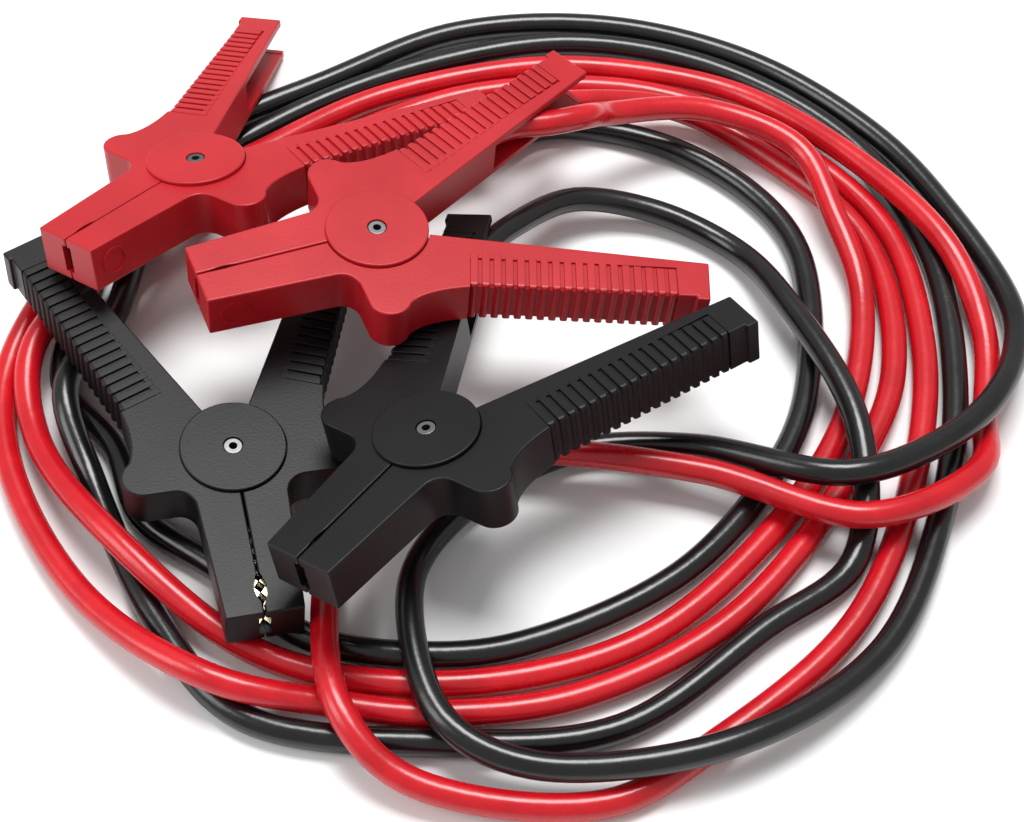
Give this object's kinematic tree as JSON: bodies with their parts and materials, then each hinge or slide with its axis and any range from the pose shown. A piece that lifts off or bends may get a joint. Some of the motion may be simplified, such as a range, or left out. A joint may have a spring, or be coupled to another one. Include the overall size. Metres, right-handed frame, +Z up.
{
  "type": "car jumper cable set",
  "caption": "Pair of coiled car jumper cables, red and black, each with a spring clamp with flat plastic handles on both ends.",
  "frame": {"origin": "on the floor under the middle of the box round the four clamps", "axes": "+Z up, +X to the right and +Y away from the viewer of the picture"},
  "size_m": [0.338, 0.3247, 0.06],
  "materials": {
    "red_plastic": "moulded plastic, satin with bright edges",
    "black_plastic": "moulded plastic, satin to matte",
    "red_cable_sheath": "smooth soft PVC sheath, glossy",
    "black_cable_sheath": "smooth soft PVC sheath, glossy",
    "contact_metal": "pressed sheet metal, plated",
    "steel": "zinc-plated steel"
  },
  "bodies": {
    "cable_set": {"red_clamp_rear_fixed_lever": "red_plastic", "red_clamp_rear_fixed_contact": "contact_metal", "red_clamp_rear_rivet": "steel", "red_clamp_rear_spring": "steel", "red_clamp_front_fixed_lever": "red_plastic", "red_clamp_front_fixed_contact": "contact_metal", "red_clamp_front_rivet": "steel", "red_clamp_front_spring": "steel", "black_clamp_left_fixed_lever": "black_plastic", "black_clamp_left_fixed_contact": "contact_metal", "black_clamp_left_rivet": "steel", "black_clamp_left_spring": "steel", "black_clamp_right_fixed_lever": "black_plastic", "black_clamp_right_fixed_contact": "contact_metal", "black_clamp_right_rivet": "steel", "black_clamp_right_spring": "steel", "red_cable": "red_cable_sheath", "black_cable": "black_cable_sheath"},
    "red_clamp_rear_moving_jaw": {"red_clamp_rear_moving_lever": "red_plastic", "red_clamp_rear_moving_contact": "contact_metal"},
    "red_clamp_front_moving_jaw": {"red_clamp_front_moving_lever": "red_plastic", "red_clamp_front_moving_contact": "contact_metal"},
    "black_clamp_left_moving_jaw": {"black_clamp_left_moving_lever": "black_plastic", "black_clamp_left_moving_contact": "contact_metal"},
    "black_clamp_right_moving_jaw": {"black_clamp_right_moving_lever": "black_plastic", "black_clamp_right_moving_contact": "contact_metal"}
  },
  "joints": [
    {"name": "red_clamp_rear_pivot", "type": "hinge", "parent": "cable_set", "child": "red_clamp_rear_moving_jaw", "pos_m": [-0.05895, 0.03052, 0.0355], "axis": [0.0067, -0.2705, -0.9627], "range_deg": [0, 2], "stiffness_Nm_per_rad": 1.5, "springref_deg": -22.92, "deforming": ["red_clamp_rear_spring"]},
    {"name": "red_clamp_front_pivot", "type": "hinge", "parent": "cable_set", "child": "red_clamp_front_moving_jaw", "pos_m": [0.00194, -0.00824, 0.04717], "axis": [0.085, 0.0361, 0.9957], "range_deg": [0, 30], "stiffness_Nm_per_rad": 1.5, "springref_deg": -22.92, "deforming": ["red_clamp_front_spring"]},
    {"name": "black_clamp_left_pivot", "type": "hinge", "parent": "cable_set", "child": "black_clamp_left_moving_jaw", "pos_m": [-0.04045, -0.07085, 0.02025], "axis": [-0.1128, 0.0059, -0.9936], "range_deg": [0, 5], "stiffness_Nm_per_rad": 1.5, "springref_deg": -22.92, "deforming": ["black_clamp_left_spring"]},
    {"name": "black_clamp_right_pivot", "type": "hinge", "parent": "cable_set", "child": "black_clamp_right_moving_jaw", "pos_m": [0.02033, -0.07922, 0.03919], "axis": [-0.1292, 0.1983, 0.9716], "range_deg": [0, 1.5], "stiffness_Nm_per_rad": 1.5, "springref_deg": -22.92, "deforming": ["black_clamp_right_spring"]}
  ]
}
